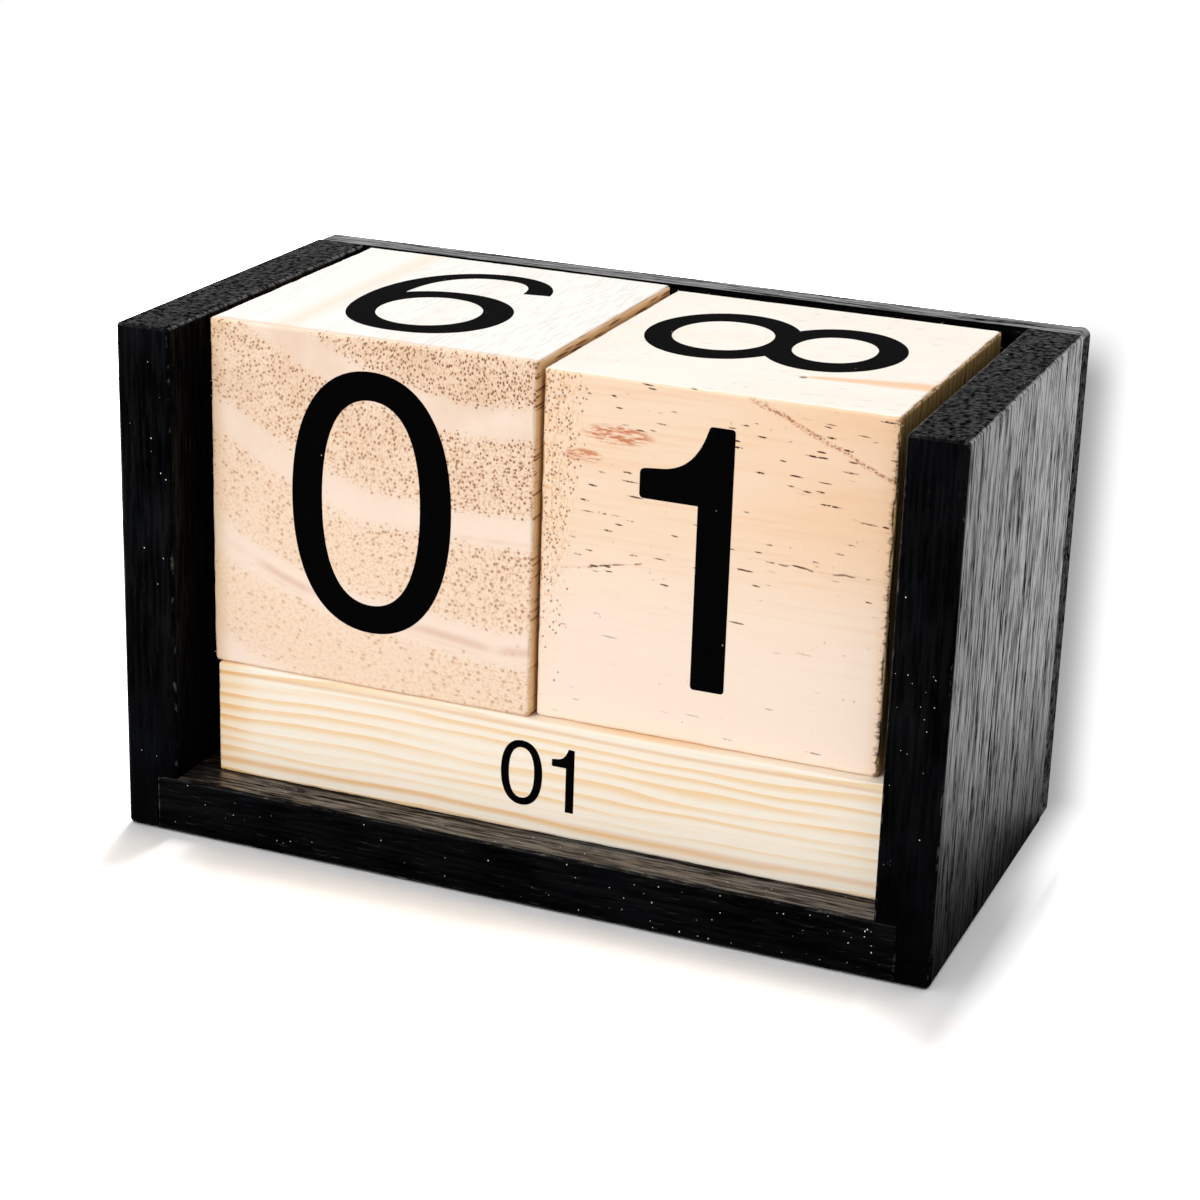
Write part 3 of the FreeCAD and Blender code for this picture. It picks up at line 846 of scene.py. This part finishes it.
table_material, tree, shader, (x, y, z) = finish_of("white_table")
tree.nodes.remove(shader)
camera_ray, mirrored = rays_of(tree)
away = (x * x + y * y).math("SQRT").smooth(130, 420)
seen_white = tint(tree, away, white_near, white_far)
plain = tint(tree, mirrored, paint(235, 235, 235), mirrored_table)
diffuse = add_node(
    tree, "ShaderNodeBsdfDiffuse", {"Color": tint(tree, camera_ray, plain, seen_white)})
# The painted shadow also lies on this strip of the table beside the back corner, for camera rays
# only.
strip = (x - frame_right).smooth(-3, -2) * (x - frame_right).smooth(rim_end + 1, rim_end)
strip = strip * y.smooth(-12, 20) * y.smooth(card_y + 1.5, card_y + 1.0) * camera_ray
painted_shadow_strip = painted_shadow_rim(tree, beside_frame(x))
table_look = add_node(
    tree, "ShaderNodeMixShader", {0: strip, 1: diffuse, 2: painted_shadow_strip})
tree.links.new(table_look.socket, tree.nodes["Material Output"].inputs["Surface"])
table_rim = [
    (table_reach * math.cos(turn), table_reach * math.sin(turn), table_level)
    for turn in np.linspace(0, 2 * math.pi, 65)[:-1]]
table = object_from("table", table_rim, [tuple(range(64))], table_material)

world = bpy.data.worlds.new("studio")
bpy.context.scene.world = world
world.use_nodes = True
tree = world.node_tree
background = tree.nodes["Background"]
camera_ray, mirrored = rays_of(tree)
plug(tree, background.inputs["Color"], tint(
    tree, camera_ray.math("MAXIMUM", mirrored), room_light, room_white))
background.inputs["Strength"].default_value = 1.0
print("table radius", table_reach, "mm")

# %% [markdown]
# ## The card with the rest of the painted shadow
#
# The upright part of the painted shadow needs something to lie on. A narrow card stands close
# behind the frame's right side. It glows by itself, is clear from behind, and neither blocks
# light nor shows in reflections. Its painted shadow fades towards the right and the top.

# %% The card with the painted shadow
card_material, tree, shader, (x, y, z) = finish_of("painted_shadow_rim_on_white_card")
tree.nodes.remove(shader)
below_top = (z - frame_top).smooth(-11, 0) * -1 + 1
# Painted shadow on the card: grey beside the frame, fading towards the right and the top.
glow = painted_shadow_rim(tree, beside_frame(x) * below_top)
behind = add_node(tree, "ShaderNodeNewGeometry", {}, output="Backfacing")
clear = add_node(tree, "ShaderNodeBsdfTransparent", {})
one_sided = add_node(tree, "ShaderNodeMixShader", {0: behind, 1: glow, 2: clear})
tree.links.new(one_sided.socket, tree.nodes["Material Output"].inputs["Surface"])
card_left, card_right, card_top = frame_right - 3, frame_right + 10, frame_top + 2
card = object_from("card_behind", [
    (card_left, card_y, table_level), (card_right, card_y, table_level),
    (card_right, card_y, card_top), (card_left, card_y, card_top)], [(0, 1, 2, 3)], card_material)
card.visible_shadow = card.visible_diffuse = False
card.visible_glossy = card.visible_transmission = False
print("card from", round(card_left), "to", round(card_right), "mm, up to", round(card_top), "mm")

# %% [markdown]
# ## Lamps
#
# A wide lamp at the front left lights the numbers and a lamp above lights the tops. The
# shadow on the table is drawn by a lamp of its own: it is long from front to back and narrow
# from side to side, which makes the shadow soft in front and short on the right. Light
# linking keeps them apart: the first two lamps leave out the table, and the third one lights
# nothing else.

# %% Lamps
def lamp(name, place, target, size_x, size_y, power):
    """A rectangular soft lamp that looks at a point. Places and sizes are in metres."""
    data = bpy.data.lights.new(name, "AREA")
    data.shape = "RECTANGLE"
    data.size, data.size_y = size_x, size_y
    data.energy = power
    made = bpy.data.objects.new(name, data)
    bpy.context.collection.objects.link(made)
    made.location = place
    made.rotation_euler = (Vector(target) - Vector(place)).to_track_quat("-Z", "Y").to_euler()
    print(name, size_x, "by", size_y, "m,", power, "W")
    return made


table_only = bpy.data.collections.new("table_only")
table_only.objects.link(table)
all_but_table = bpy.data.collections.new("all_but_table")
all_but_table.objects.link(table)
all_but_table.collection_objects[0].light_linking.link_state = "EXCLUDE"
above_lamp = lamp("lamp_above", (-0.10, 0.14, 1.0), (0, 0, 0.04), 0.3, 0.3, 3.4)
front_lamp = lamp("lamp_front", (-0.45, -1.0, 0.65), (0, 0, 0.04), 0.75, 0.75, 10.6)
shadow_lamp = lamp("lamp_for_table", (-0.069, 0.292, 1.0), (-0.069, 0.292, 0), 0.17, 0.34, 7.4)
above_lamp.light_linking.receiver_collection = all_but_table
front_lamp.light_linking.receiver_collection = all_but_table
shadow_lamp.light_linking.receiver_collection = table_only

# %% [markdown]
# ## The view transform
#
# The picture renders with the Standard view transform.

# %% Finish
bpy.context.scene.view_settings.view_transform = "Standard"
